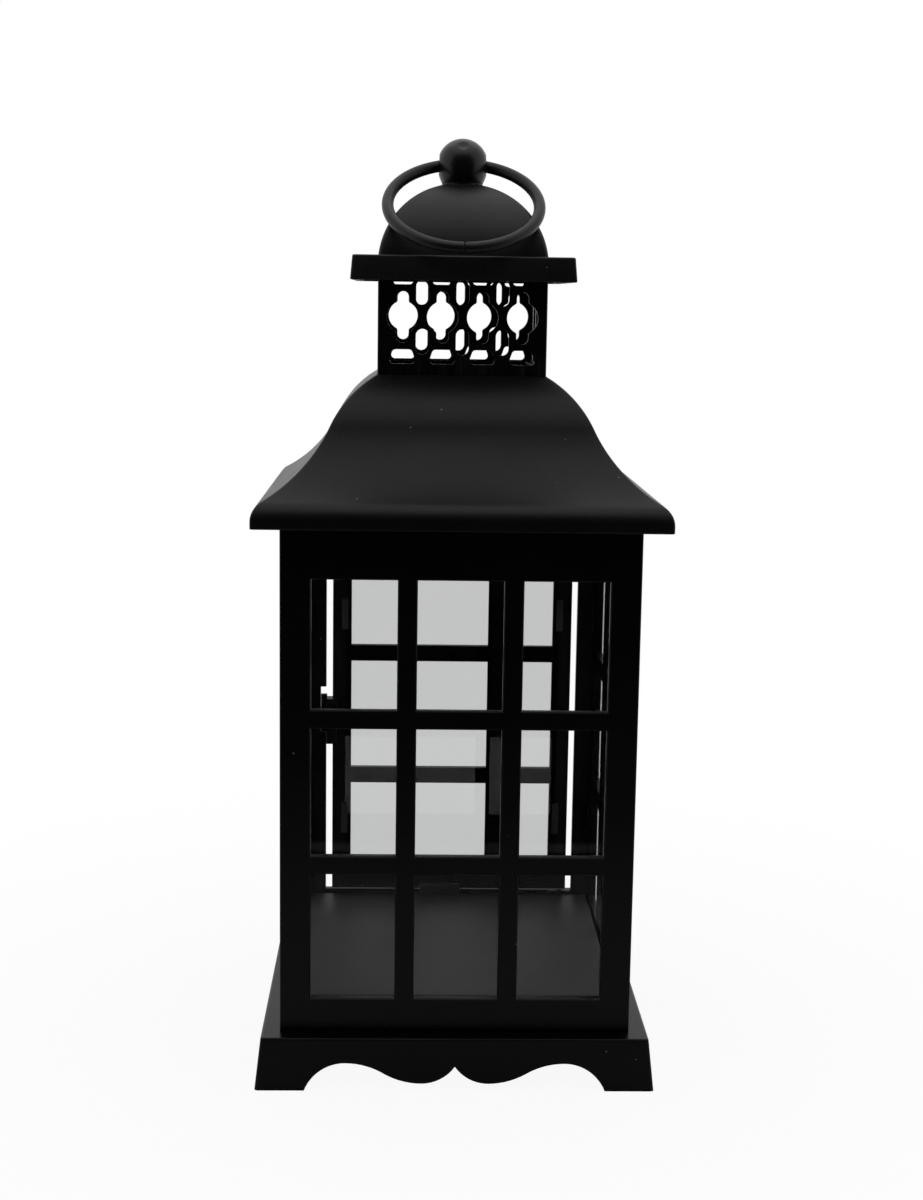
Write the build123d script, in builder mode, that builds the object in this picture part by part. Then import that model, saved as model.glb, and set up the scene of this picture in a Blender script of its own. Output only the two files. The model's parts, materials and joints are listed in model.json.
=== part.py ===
"""Black plastic lantern with windowed walls, a rear door, a bell-cast roof and a hanging ring.

Sizes are millimetres. The origin is the middle of the footprint, on the surface that the lantern
stands on. +Z is up, the front faces -Y, and the door is in the rear wall.
"""

from build123d import *
import os
from math import atan, cos, degrees, hypot, radians, sin, sqrt

os.makedirs("parts", exist_ok=True)

# Windowed walls
pane_columns = 3
pane_rows = 3
pane_width = 27.7  # clear opening of one light
pane_height = 42.5
muntin = 6.4  # upright bars between lights
bar = 6.25  # level bars between lights
stile = 10.05  # wall beside the window
bottom_rail = 11.5  # wall below the window
top_rail = 16.8  # wall above the window, as far as the eaves
wall_tuck = 5.9  # wall hidden inside the roof
wall = 2.6
edge_break = 0.4  # chamfer round each light
wall_corner = 0.7  # rounding of the body's upright corners
foot_groove = 0.9  # chamfer where the walls meet the deck

# Plinth
base_height = 17.3
deck_ledge = 6.0  # deck that shows outside the walls
base_flare = 1.9  # outward slope of the apron, over its height
base_wall = 2.4
deck_thickness = 2.2
base_corner = 1.2
base_edge = 0.7
foot_length = 16.3  # foot along each side, from the corner
foot_hollow = 13.4  # level run of the curve from the foot to the crest
crest_height = 9.1
lobe_half = 11.0  # lowest point of the curve, from the middle of the side
lobe_height = 2.4
cusp_height = 8.0

# Floor tray and its screws
floor_drop = 0.5  # floor below the foot of the windows
tray_wall = 2.0
tray_gap = 0.2  # tray to the inside of the walls
screw_inset = 9.4  # screw from the inside of the walls
boss_radius = 3.5
deck_margin = 0.5  # deck beyond the boss
shank_radius = 1.45
shank_hole_gap = 0.25
thread_gap = 0.01
head_radius = 2.8
head_height = 1.8
head_round = 0.7
recess_width = 0.9
recess_length = 3.2
recess_depth = 0.9
tip_taper = 0.8
screw_bite = 8.0  # thread inside the boss
blind_room = 0.5  # hole beyond the screw's tip

# Clear sheets and their clips
pane_thickness = 1.2
pane_lap = 2.2  # sheet behind the edge of the window
pane_foot = 4.8  # sheet below the window, down to the tray's ledge
pane_room = 0.8  # sheet to the edge of the floor
clip_height = 11.8
clip_post = 1.3
clip_lip = 0.8
clip_reach = 1.0  # lip over the sheet
clip_gap = 0.15
clip_inset = 30.0  # middle of a clip from the head or foot of the window

# Door
doorway_lift = 0.7  # foot of the doorway above the foot of the windows
door_gap_free = 2.5
door_gap_hinge = 2.3
door_gap_foot = 0.7
door_gap_head = 0.8
door_thickness = 3.2
door_stile = 7.1
door_rail = 8.5
door_bar = 6.05
door_bar_lift = 0.75  # middle of the door's bars above the middle of the window
door_bar_narrowing = 0.85  # door's bars closer together than the front's
stop_width = 15.7
stop_offset = 3.5  # middle of the stop from the middle of the door
stop_height = 3.0
stop_depth = 2.0
stop_gap = 0.35

# Hinge pins
pin_radius = 0.9
pin_gap = 0.05  # running clearance in the frame
pin_in_door = 6.0
pin_in_frame = 4.0
hinge_inset = 2.2  # pin from the hinge edge of the door
lug_width = 8.0
lug_height = 5.2
lug_gap = 0.5  # lug to the edge of the floor

# Catch
catch_rise = 67.2  # middle of the catch above the foot of the doorway
catch_length = 17.6
catch_jamb_gap = 0.2
catch_inner_leg = 1.4  # over the inside of the stile
catch_outer_leg = 5.0  # over the outside of the stile
catch_leg = 1.3  # thickness of the legs
catch_rib_pitch = 2.4
catch_rib_count = 6
catch_rib_depth = 0.5
tongue_length = 14.6
tongue_rise = 2.9  # middle of the tongue above the middle of the catch
tongue_depth = 2.0  # tongue inside the jamb
tongue_inset = 0.4  # tongue inside the faces of the jamb
tongue_overlap = 0.1  # tongue sunk into the web of the catch
keeper_gap = 0.1  # notch beyond the end of the tongue
keeper_below = 0.15
keeper_above = 3.1

# Roof
eave_overhang = 8.75
fascia = 2.4
lip_radius = 7.0
roof_slope = 29.9  # degrees, just above the lip and just below the chimney
bell_share = 0.423  # turn of the bell curve, as a share of the way from the chimney to the lip
roof_rise = 47.2
roof_wall = 2.2
rib_thickness = 2.0
rib_place = 32.0  # rib from the middle of its side
rib_reach = 7.0  # rib over the top of the wall, inwards
rib_gap = 0.25
rib_lift = 1.5  # foot of the rib above the eaves

# Chimney
chimney_width = 55.7
chimney_wall = 2.0
chimney_height = 36.4
chimney_corner = 0.6
collar_height = 3.0
collar_wall = 1.6
collar_gap = 0.15
plain_foot = 3.55  # plain strip below the piercings
plain_head = 2.35  # plain strip above them
corner_post = 2.975  # plain strip from the corner to the first keyhole
keyhole_count = 4
keyhole_web = 2.85  # between keyholes
keyhole_neck = 4.0
keyhole_round = 0.9
slot_width = 4.3
slot_height = 8.4
slot_inset = 3.05  # slot from the head or foot of the pattern
trapezium_web = 3.85  # between trapeziums
trapezium_taper = 1.6  # slope of each end
trapezium_height = 4.7
trapezium_round = 1.3
row_web = 2.1  # between a keyhole and the trapezium above or below it

# Cap
plate_overhang = 8.85
plate_height = 8.0
plate_draft = 0.6
plate_edge = 0.6
cap_wall = 2.2
cap_rib = 1.4
cap_rib_height = 3.4
dome_rise = 24.8

# Knob and its screw
knob_radius = 8.55
knob_foot_radius = 7.0
knob_height = 14.75
knob_seat_rise = 0.1  # seat above the crown of the dome
seat_inset = 0.1  # seat smaller than the foot of the knob
boss_drop = 2.0  # seat below the inside of the dome
knob_bite = 3.0
dimple_radius = 2.4
dimple_depth = 0.55
dimple_rim = 1.5  # fillet round the dimple
dimple_lift = 44.0  # degrees above level, towards the front

# Hanging ring
ring_radius = 25.0  # to the middle of the wire
ring_wire_radius = 1.95
ring_pivot_rise = 6.2  # axis of the ring above the seat of the knob
ring_gap = 0.08
throat_half = 1.2  # straight middle of the ring's hole
ring_rest_gap = 0.35
seam_width = 0.8
seam_depth = 0.45

# Levels and half widths that follow from the sizes above
window_width = pane_columns * pane_width + (pane_columns - 1) * muntin
window_height = pane_rows * pane_height + (pane_rows - 1) * bar
window_half = window_width / 2
body_half = window_half + stile
inner_half = body_half - wall
window_bottom = base_height + bottom_rail
window_top = window_bottom + window_height
window_middle = (window_bottom + window_top) / 2
eave_z = window_top + top_rail
wall_top = eave_z + wall_tuck
wall_middle = (base_height + wall_top) / 2
wall_height = wall_top - base_height
floor_z = window_bottom - floor_drop
doorway_foot = window_bottom + doorway_lift
pane_seat = window_bottom - pane_foot
floor_half = inner_half - pane_thickness - pane_room
column_pitch = pane_width + muntin
row_pitch = pane_height + bar
muntin_places = [(i + 1 - pane_columns / 2) * column_pitch for i in range(pane_columns - 1)]
clip_levels = (window_bottom + clip_inset, window_top - clip_inset)
roof_top = eave_z + roof_rise
chimney_half = chimney_width / 2
LIFT = (Align.CENTER, Align.CENTER, Align.MIN)
HANG = (Align.CENTER, Align.CENTER, Align.MAX)


def hipped(section, reach):
    """Solid that has the given upright section both ways, so that its level sections are squares."""
    with BuildPart() as solid:
        with BuildSketch(Plane.XZ):
            add(section)
        extrude(amount=reach, both=True)
        with BuildSketch(Plane.YZ):
            add(section)
        extrude(amount=reach, both=True, mode=Mode.INTERSECT)
    return solid.part


def pan_screws(places, seat_z, reach):
    """Screws that point up, with their heads under seat_z and crossed recesses in the heads."""
    with BuildPart() as screws:
        for x, y in places:
            with Locations((x, y, seat_z)):
                Cylinder(head_radius, head_height, align=HANG)
                Cylinder(shank_radius, reach, align=LIFT)
            with Locations((x, y, seat_z - head_height)):
                Box(recess_length, recess_width, recess_depth, align=LIFT, mode=Mode.SUBTRACT)
                Box(recess_width, recess_length, recess_depth, align=LIFT, mode=Mode.SUBTRACT)
        rims = screws.edges().filter_by(GeomType.CIRCLE)
        fillet(rims.group_by(Axis.Z)[0], radius=head_round)
        chamfer(screws.edges().filter_by(GeomType.CIRCLE).group_by(Axis.Z)[-1], length=tip_taper)
    return screws


# Plinth: a tapered square tray, open below, with the same scalloped edge on all four sides
deck_half = body_half + deck_ledge
base_half = deck_half + base_flare
hollow_top = base_height - deck_thickness
hollow_top_half = deck_half + base_flare * deck_thickness / base_height - base_wall
screw_place = inner_half - screw_inset
deck_opening = 2 * (screw_place - boss_radius - deck_margin)
foot_inner = base_half - foot_length
crest_x = foot_inner - foot_hollow
ogee_middle = ((crest_x + lobe_half) / 2, (crest_height + lobe_height) / 2)

with BuildSketch() as scallop:
    with BuildLine():
        foot_curve = TangentArc((crest_x, crest_height), (foot_inner, 0), tangent=(1, 0))
        upper_ogee = TangentArc((crest_x, crest_height), ogee_middle, tangent=(-1, 0))
        lower_ogee = TangentArc(ogee_middle, (lobe_half, lobe_height), tangent=upper_ogee % 1)
        TangentArc((lobe_half, lobe_height), (0, cusp_height), tangent=(-1, 0))
        Polyline((0, cusp_height), (0, -base_edge), (foot_inner, -base_edge), (foot_inner, 0))
    make_face()
    mirror(about=Plane.YZ)

with BuildPart() as base:
    with BuildSketch():
        Rectangle(2 * base_half, 2 * base_half)
    with BuildSketch(Plane.XY.offset(base_height)):
        Rectangle(2 * deck_half, 2 * deck_half)
    loft()
    fillet(base.edges().filter_by(Plane.XY, reverse=True), radius=base_corner)
    fillet(base.faces().sort_by(Axis.Z)[-1].edges(), radius=base_edge)
    with BuildSketch():
        Rectangle(2 * (base_half - base_wall), 2 * (base_half - base_wall))
    with BuildSketch(Plane.XY.offset(hollow_top)):
        Rectangle(2 * hollow_top_half, 2 * hollow_top_half)
    loft(mode=Mode.SUBTRACT)
    with BuildSketch(Plane.XY.offset(hollow_top)):
        Rectangle(deck_opening, deck_opening)
        with GridLocations(2 * screw_place, 2 * screw_place, 2, 2):
            Circle(shank_radius + shank_hole_gap)
    extrude(amount=deck_thickness, mode=Mode.SUBTRACT)
    for side_plane in (Plane.XZ, Plane.YZ):
        with BuildSketch(side_plane):
            add(scallop.sketch)
        extrude(amount=2 * base_half, both=True, mode=Mode.SUBTRACT)
base.part.label = "base"
export_step(base.part, "parts/base.step")

# Floor tray: a stepped tray, upside down, whose ledge carries the clear sheets
ledge_half = inner_half - tray_gap
tray_hollow = 2 * (floor_half - tray_wall)
tray_depth = floor_z - tray_wall - base_height
door_inner = body_half - door_thickness
stop_back = door_inner - stop_gap

with BuildPart() as floor_tray:
    with BuildSketch(Plane.XY.offset(base_height)):
        Rectangle(2 * ledge_half, 2 * ledge_half)
    extrude(amount=pane_seat - base_height)
    with BuildSketch(Plane.XY.offset(pane_seat)):
        Rectangle(2 * floor_half, 2 * floor_half)
    extrude(amount=floor_z - pane_seat)
    with BuildSketch(Plane.XY.offset(base_height)):
        Rectangle(tray_hollow, tray_hollow)
    extrude(amount=tray_depth, mode=Mode.SUBTRACT)
    with BuildSketch(Plane.XY.offset(base_height)):
        with GridLocations(2 * screw_place, 2 * screw_place, 2, 2):
            Circle(boss_radius)
    extrude(amount=tray_depth)
    with BuildSketch(Plane.XY.offset(base_height)):
        with GridLocations(2 * screw_place, 2 * screw_place, 2, 2):
            Circle(shank_radius + thread_gap)
    extrude(amount=screw_bite + blind_room, mode=Mode.SUBTRACT)
    with Locations((-stop_offset, stop_back, floor_z)):
        stop_size = stop_back - floor_half + stop_depth
        stop_rise = doorway_foot - floor_z + stop_height
        Box(stop_width, stop_size, stop_rise, align=(Align.CENTER, Align.MAX, Align.MIN))
floor_tray.part.label = "floor_tray"
export_step(floor_tray.part, "parts/floor_tray.step")

screw_corners = [(i * screw_place, j * screw_place) for i in (-1, 1) for j in (-1, 1)]
base_screws = pan_screws(screw_corners, hollow_top, deck_thickness + screw_bite)
base_screws.part.label = "base_screws"
export_step(base_screws.part, "parts/base_screws.step")


def lattice(width):
    """Outline of a wall of the given width, with its grid of lights."""
    with BuildSketch() as outline:
        with Locations((0, wall_middle)):
            Rectangle(width, wall_height)
        with Locations((0, window_middle)):
            with GridLocations(column_pitch, row_pitch, pane_columns, pane_rows):
                Rectangle(pane_width, pane_height, mode=Mode.SUBTRACT)
    return outline.sketch


def sheet_clips(wall_plane, sheet_half):
    """Four hooked clips beside a clear sheet: x of the plane runs along the wall, y points inwards."""
    depth = pane_thickness + clip_lip
    with BuildPart() as clips:
        for level in clip_levels:
            with BuildSketch(wall_plane.offset(level - clip_height / 2)):
                for side in (-1, 1):
                    edge = side * (sheet_half + clip_gap)
                    lip_middle = side * (sheet_half - clip_reach / 2 + clip_gap / 2)
                    with Locations((edge + side * clip_post / 2, depth / 2)):
                        Rectangle(clip_post, depth)
                    with Locations((lip_middle, depth - clip_lip / 2)):
                        Rectangle(clip_reach + clip_gap, clip_lip)
            extrude(amount=clip_height)
    return clips


# Front wall, full width, with its sheet and clips
sheet_half = window_half + pane_lap
sheet_height = window_top + pane_lap - pane_seat

with BuildPart() as front_wall:
    with BuildSketch(Plane.XZ.offset(inner_half)):
        add(lattice(2 * body_half))
    extrude(amount=wall)
    chamfer(front_wall.faces().sort_by(Axis.Y)[0].inner_wires().edges(), length=edge_break)
    outer_edges = front_wall.faces().sort_by(Axis.Y)[0].outer_wire().edges()
    chamfer(outer_edges.sort_by(Axis.Z)[0], length=foot_groove)
    outer_edges = front_wall.faces().sort_by(Axis.Y)[0].outer_wire().edges()
    fillet(outer_edges.filter_by(Axis.Z), radius=wall_corner)
front_wall.part.label = "front_wall"
export_step(front_wall.part, "parts/front_wall.step")

with BuildPart() as front_pane:
    with Locations((0, pane_thickness / 2 - inner_half, pane_seat)):
        Box(2 * sheet_half, pane_thickness, sheet_height, align=LIFT)
front_pane.part.label = "front_pane"
export_step(front_pane.part, "parts/front_pane.step")

front_plane = Plane((0, -inner_half, 0), x_dir=(1, 0, 0), z_dir=(0, 0, 1))
front_pane_clips = sheet_clips(front_plane, sheet_half)
front_pane_clips.part.label = "front_pane_clips"
export_step(front_pane_clips.part, "parts/front_pane_clips.step")

# Side walls, between the front wall and the rear frame, with their sheets and clips
for side, hand in ((-1, "left"), (1, "right")):
    with BuildPart() as side_wall:
        with BuildSketch(Plane.YZ.offset(side * inner_half)):
            add(lattice(2 * inner_half))
        extrude(amount=side * wall)
        outermost = -1 if side > 0 else 0
        chamfer(side_wall.faces().sort_by(Axis.X)[outermost].inner_wires().edges(), length=edge_break)
        outer_edges = side_wall.faces().sort_by(Axis.X)[outermost].outer_wire().edges()
        chamfer(outer_edges.sort_by(Axis.Z)[0], length=foot_groove)
    side_wall.part.label = f"{hand}_wall"
    export_step(side_wall.part, f"parts/{hand}_wall.step")

    with BuildPart() as side_pane:
        with Locations((side * (inner_half - pane_thickness / 2), 0, pane_seat)):
            Box(pane_thickness, 2 * sheet_half, sheet_height, align=LIFT)
    side_pane.part.label = f"{hand}_pane"
    export_step(side_pane.part, f"parts/{hand}_pane.step")

    side_plane = Plane((side * inner_half, 0, 0), x_dir=(0, side, 0), z_dir=(0, 0, 1))
    side_pane_clips = sheet_clips(side_plane, sheet_half)
    side_pane_clips.part.label = f"{hand}_pane_clips"
    export_step(side_pane_clips.part, f"parts/{hand}_pane_clips.step")

# Rear frame: the doorway, the notch for the catch, and two lugs for the hinge pins
door_left = door_gap_free - window_half
door_right = window_half - door_gap_hinge
door_middle_x = (door_left + door_right) / 2
door_width = door_right - door_left
door_bottom = doorway_foot + door_gap_foot
door_top = window_top - door_gap_head
door_height = door_top - door_bottom
door_middle_z = (door_bottom + door_top) / 2
hinge_x = door_right - hinge_inset
hinge_y = body_half - door_thickness / 2
lug_thickness = pane_thickness + pane_room - lug_gap
pin_hole = pin_in_frame + pin_gap
catch_z = doorway_foot + catch_rise
tongue_z = catch_z + tongue_rise
keeper_bottom = tongue_z - tongue_length / 2 - keeper_below
keeper_top = tongue_z + tongue_length / 2 + keeper_above
keeper_depth = tongue_depth + keeper_gap

with BuildPart() as back_frame:
    with BuildSketch(Plane.XZ.offset(-body_half)):
        with Locations((0, wall_middle)):
            Rectangle(2 * body_half, wall_height)
        with Locations((0, (doorway_foot + window_top) / 2)):
            Rectangle(window_width, window_top - doorway_foot, mode=Mode.SUBTRACT)
        with Locations((-window_half - keeper_depth / 2, (keeper_bottom + keeper_top) / 2)):
            Rectangle(keeper_depth, keeper_top - keeper_bottom, mode=Mode.SUBTRACT)
    extrude(amount=wall)
    outer_edges = back_frame.faces().sort_by(Axis.Y)[-1].outer_wire().edges()
    chamfer(outer_edges.sort_by(Axis.Z)[0], length=foot_groove)
    outer_edges = back_frame.faces().sort_by(Axis.Y)[-1].outer_wire().edges()
    fillet(outer_edges.filter_by(Axis.Z), radius=wall_corner)
    for lug_z, stand in ((window_top, Align.MIN), (doorway_foot, Align.MAX)):
        with Locations((hinge_x, inner_half, lug_z)):
            Box(lug_width, lug_thickness, lug_height, align=(Align.CENTER, Align.MAX, stand))
        with Locations((hinge_x, hinge_y, lug_z)):
            pin_align = (Align.CENTER, Align.CENTER, stand)
            Cylinder(pin_radius + pin_gap, pin_hole, align=pin_align, mode=Mode.SUBTRACT)
back_frame.part.label = "back_frame"
export_step(back_frame.part, "parts/back_frame.step")

# Door, flush with the outside of the rear frame, with its bars nearly in line with the front's
door_light_half = door_width / 2 - door_stile
door_bar_pitch = row_pitch - door_bar_narrowing
door_bar_middle = window_middle + door_bar_lift
door_bar_places = [door_bar_middle + (i + 1 - pane_rows / 2) * door_bar_pitch for i in range(pane_rows - 1)]

with BuildPart() as door_frame:
    with BuildSketch(Plane.XZ.offset(-body_half)):
        with Locations((door_middle_x, door_middle_z)):
            Rectangle(door_width, door_height)
            Rectangle(2 * door_light_half, door_height - 2 * door_rail, mode=Mode.SUBTRACT)
        for x in muntin_places:
            with Locations((x, door_middle_z)):
                Rectangle(muntin, door_height - door_rail)
        for z in door_bar_places:
            with Locations((door_middle_x, z)):
                Rectangle(door_width - door_stile, door_bar)
    extrude(amount=door_thickness)
    chamfer(door_frame.faces().sort_by(Axis.Y)[-1].inner_wires().edges(), length=edge_break)
    with Locations((hinge_x, hinge_y, door_bottom)):
        Cylinder(pin_radius + thread_gap, pin_in_door, align=LIFT, mode=Mode.SUBTRACT)
    with Locations((hinge_x, hinge_y, door_top)):
        Cylinder(pin_radius + thread_gap, pin_in_door, align=HANG, mode=Mode.SUBTRACT)
door_frame.part.label = "door_frame"
export_step(door_frame.part, "parts/door_frame.step")

door_sheet_half = door_light_half + pane_lap
with BuildPart() as door_pane:
    with Locations((door_middle_x, door_inner - pane_thickness / 2, door_middle_z)):
        Box(2 * door_sheet_half, pane_thickness, door_height - 2 * door_rail + 2 * pane_lap)
door_pane.part.label = "door_pane"
export_step(door_pane.part, "parts/door_pane.step")

door_plane = Plane((door_middle_x, door_inner, 0), x_dir=(-1, 0, 0), z_dir=(0, 0, 1))
door_pane_clips = sheet_clips(door_plane, door_sheet_half)
door_pane_clips.part.label = "door_pane_clips"
export_step(door_pane_clips.part, "parts/door_pane_clips.step")

for pin_name, pin_foot, pin_length in (
    ("lower_hinge_pin", doorway_foot - pin_in_frame, pin_in_frame + door_gap_foot + pin_in_door),
    ("upper_hinge_pin", door_top - pin_in_door, pin_in_door + door_gap_head + pin_in_frame),
):
    with BuildPart() as hinge_pin:
        with Locations((hinge_x, hinge_y, pin_foot)):
            Cylinder(pin_radius, pin_length, align=LIFT)
    hinge_pin.part.label = pin_name
    export_step(hinge_pin.part, f"parts/{pin_name}.step")

# Catch: a ribbed clip over the free edge of the door, with a tongue in the notch of the jamb
catch_web_left = catch_jamb_gap - window_half
catch_foot = catch_z - catch_length / 2
jamb_inner = inner_half + tongue_inset
jamb_outer = body_half - tongue_inset

with BuildPart() as door_catch:
    with BuildSketch(Plane.XY.offset(catch_foot)):
        with BuildLine():
            Polyline(
                (catch_web_left, door_inner - catch_leg),
                (door_left + catch_inner_leg, door_inner - catch_leg),
                (door_left + catch_inner_leg, door_inner),
                (door_left, door_inner),
                (door_left, body_half),
                (door_left + catch_outer_leg, body_half),
                (door_left + catch_outer_leg, body_half + catch_leg),
                (catch_web_left, body_half + catch_leg),
                close=True,
            )
        make_face()
    extrude(amount=catch_length)
    rib_x = (catch_web_left + door_left) / 2
    outer_rib_x = (catch_web_left + door_left + catch_outer_leg) / 2
    rib_width = door_left - catch_web_left
    outer_rib_width = rib_width + catch_outer_leg
    for i in range(catch_rib_count):
        groove_z = catch_z + (i + 0.5 - catch_rib_count / 2) * catch_rib_pitch
        with Locations((rib_x, door_inner - catch_leg, groove_z)):
            Box(rib_width / 2, 2 * catch_rib_depth, catch_rib_pitch / 2, mode=Mode.SUBTRACT)
        with Locations((outer_rib_x, body_half + catch_leg, groove_z)):
            Box(outer_rib_width, 2 * catch_rib_depth, catch_rib_pitch / 2, mode=Mode.SUBTRACT)
    with BuildSketch(Plane.XY.offset(tongue_z - tongue_length / 2)):
        with BuildLine():
            tongue_tip = -window_half - tongue_depth
            nose = (jamb_outer - jamb_inner) / 4
            tongue_root = catch_web_left + tongue_overlap
            FilletPolyline(
                (tongue_root, jamb_inner),
                (tongue_tip, jamb_inner),
                (tongue_tip, jamb_outer),
                (tongue_root, jamb_outer),
                radius=nose,
            )
            Line((tongue_root, jamb_outer), (tongue_root, jamb_inner))
        make_face()
    extrude(amount=tongue_length)
door_catch.part.label = "door_catch"
export_step(door_catch.part, "parts/door_catch.step")

# Roof: two arcs make the bell curve between the rounded lip and the foot of the chimney
eave_half = body_half + eave_overhang
fascia_top = eave_z + fascia
lip_centre = (eave_half - lip_radius, fascia_top)
roof_edge = (chimney_half, roof_top)
flue_half = chimney_half - chimney_wall - collar_gap - collar_wall

with BuildSketch() as roof_section:
    with BuildLine():
        Line((eave_half, eave_z), (eave_half, fascia_top))
        lip = CenterArc(lip_centre, lip_radius, 0, 90 - roof_slope)
        bell_middle = (
            chimney_half + bell_share * ((lip @ 1).X - chimney_half),
            roof_top + bell_share * ((lip @ 1).Y - roof_top),
        )
        lower_bell = TangentArc(lip @ 1, bell_middle, tangent=lip % 1)
        TangentArc(bell_middle, roof_edge, tangent=lower_bell % 1)
        Polyline(roof_edge, (0, roof_top), (0, eave_z), (eave_half, eave_z))
    make_face()
    mirror(about=Plane.YZ)

with BuildSketch() as roof_hollow:
    add(roof_section.sketch)
    offset(amount=-roof_wall, kind=Kind.INTERSECTION, mode=Mode.REPLACE)
    with Locations((0, eave_z)):
        Rectangle(2 * (eave_half - roof_wall), 2 * roof_wall + fascia)

roof_solid = hipped(roof_section.sketch, eave_half)

with BuildPart() as roof_ribs:
    for rib_plane in (Plane.XZ, Plane.YZ):
        for place in (-rib_place, rib_place):
            with BuildSketch(rib_plane.offset(place)):
                with BuildLine():
                    Polyline(
                        (inner_half - rib_reach, wall_top),
                        (body_half + rib_gap, wall_top),
                        (body_half + rib_gap, eave_z + rib_lift),
                        (eave_half, eave_z + rib_lift),
                        (eave_half, roof_top),
                        (inner_half - rib_reach, roof_top),
                        close=True,
                    )
                make_face()
                mirror(about=Plane.YZ)
            extrude(amount=rib_thickness / 2, both=True)
    add(roof_solid, mode=Mode.INTERSECT)

with BuildPart() as roof:
    add(roof_solid)
    add(hipped(roof_hollow.sketch, eave_half), mode=Mode.SUBTRACT)
    add(roof_ribs.part)
    with BuildSketch(Plane.XY.offset(roof_top - roof_wall)):
        Rectangle(2 * (flue_half + collar_wall), 2 * (flue_half + collar_wall))
    extrude(amount=roof_wall + collar_height)
    with BuildSketch(Plane.XY.offset(roof_top - roof_wall)):
        Rectangle(2 * flue_half, 2 * flue_half)
    extrude(amount=roof_wall + collar_height, mode=Mode.SUBTRACT)
roof.part.label = "roof"
export_step(roof.part, "parts/roof.step")

# Chimney: four pierced panels, the front and rear ones over the ends of the side ones
pattern_height = chimney_height - plain_foot - plain_head
pierced_z = roof_top + plain_foot + pattern_height / 2
pierced_width = chimney_width - 2 * corner_post
keyhole_width = (pierced_width - (keyhole_count - 1) * keyhole_web) / keyhole_count
keyhole_height = pattern_height - 2 * trapezium_height - 2 * row_web
keyhole_pitch = keyhole_width + keyhole_web
keyhole_places = [(i + 0.5 - keyhole_count / 2) * keyhole_pitch for i in range(keyhole_count)]
trapezium_foot = keyhole_pitch - trapezium_web
trapezium_angle = degrees(atan(trapezium_height / trapezium_taper))
trapezium_offset = (pattern_height - trapezium_height) / 2
slot_offset = (pattern_height - slot_height) / 2 - slot_inset
flue_wall_half = chimney_half - chimney_wall

with BuildSketch() as keyhole:
    SlotOverall(keyhole_height, keyhole_neck, rotation=90)
    Circle(keyhole_width / 2)
    fillet(keyhole.vertices().sort_by_distance((0, 0, 0))[:4], radius=keyhole_round)

with BuildSketch() as trapezium:
    Trapezoid(trapezium_foot, trapezium_height, trapezium_angle)
    fillet(trapezium.vertices(), radius=trapezium_round)

with BuildSketch() as pierced:
    for x in keyhole_places:
        add(keyhole.sketch.moved(Location((x, pierced_z))))
        add(trapezium.sketch.moved(Location((x, pierced_z - trapezium_offset))))
        add(trapezium.sketch.moved(Location((x, pierced_z + trapezium_offset), (0, 0, 180))))
    with Locations((0, pierced_z)):
        with GridLocations(keyhole_pitch, 2 * slot_offset, keyhole_count - 1, 2):
            SlotOverall(slot_height, slot_width, rotation=90)

for panel_name, panel_plane, outwards, panel_width in (
    ("chimney_front", Plane.XZ, 1, chimney_width),
    ("chimney_back", Plane.XZ, -1, chimney_width),
    ("chimney_left", Plane.YZ, -1, 2 * flue_wall_half),
    ("chimney_right", Plane.YZ, 1, 2 * flue_wall_half),
):
    with BuildPart() as chimney_panel:
        with BuildSketch(panel_plane.offset(outwards * flue_wall_half)):
            with Locations((0, roof_top)):
                Rectangle(panel_width, chimney_height, align=(Align.CENTER, Align.MIN))
            add(pierced.sketch, mode=Mode.SUBTRACT)
        extrude(amount=outwards * chimney_wall)
        if panel_width == chimney_width:
            outer_side = chimney_panel.faces().filter_by(Axis.Y).sort_by(Axis.Y)[0 if outwards > 0 else -1]
            fillet(outer_side.outer_wire().edges().filter_by(Axis.Z), radius=chimney_corner)
    chimney_panel.part.label = panel_name
    export_step(chimney_panel.part, f"parts/{panel_name}.step")

# Cap: a skirted plate and a four-sided dome in one shell, with a rib round the head of the chimney
deck_under = roof_top + chimney_height
plate_top = deck_under + cap_wall
plate_bottom = plate_top - plate_height
plate_half = chimney_half + plate_overhang
plate_top_half = plate_half - plate_draft
dome_radius = (chimney_half**2 + dome_rise**2) / (2 * dome_rise)
dome_top = plate_top + dome_rise
dome_centre = dome_top - dome_radius
knob_seat = dome_top + knob_seat_rise
boss_foot = dome_top - cap_wall - boss_drop

with BuildSketch() as cap_section:
    with BuildLine():
        Polyline(
            (0, plate_bottom),
            (plate_half, plate_bottom),
            (plate_top_half, plate_top),
            (chimney_half, plate_top),
        )
        RadiusArc((chimney_half, plate_top), (0, dome_top), -dome_radius)
        Line((0, dome_top), (0, plate_bottom))
    make_face()
    mirror(about=Plane.YZ)

with BuildSketch() as cap_hollow:
    with Locations((0, dome_centre)):
        Circle(dome_radius - cap_wall)
    with Locations((0, deck_under)):
        Rectangle(4 * dome_radius, 2 * dome_radius, align=(Align.CENTER, Align.MAX), mode=Mode.SUBTRACT)
        Rectangle(2 * (plate_top_half - cap_wall), plate_height, align=(Align.CENTER, Align.MAX))

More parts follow.
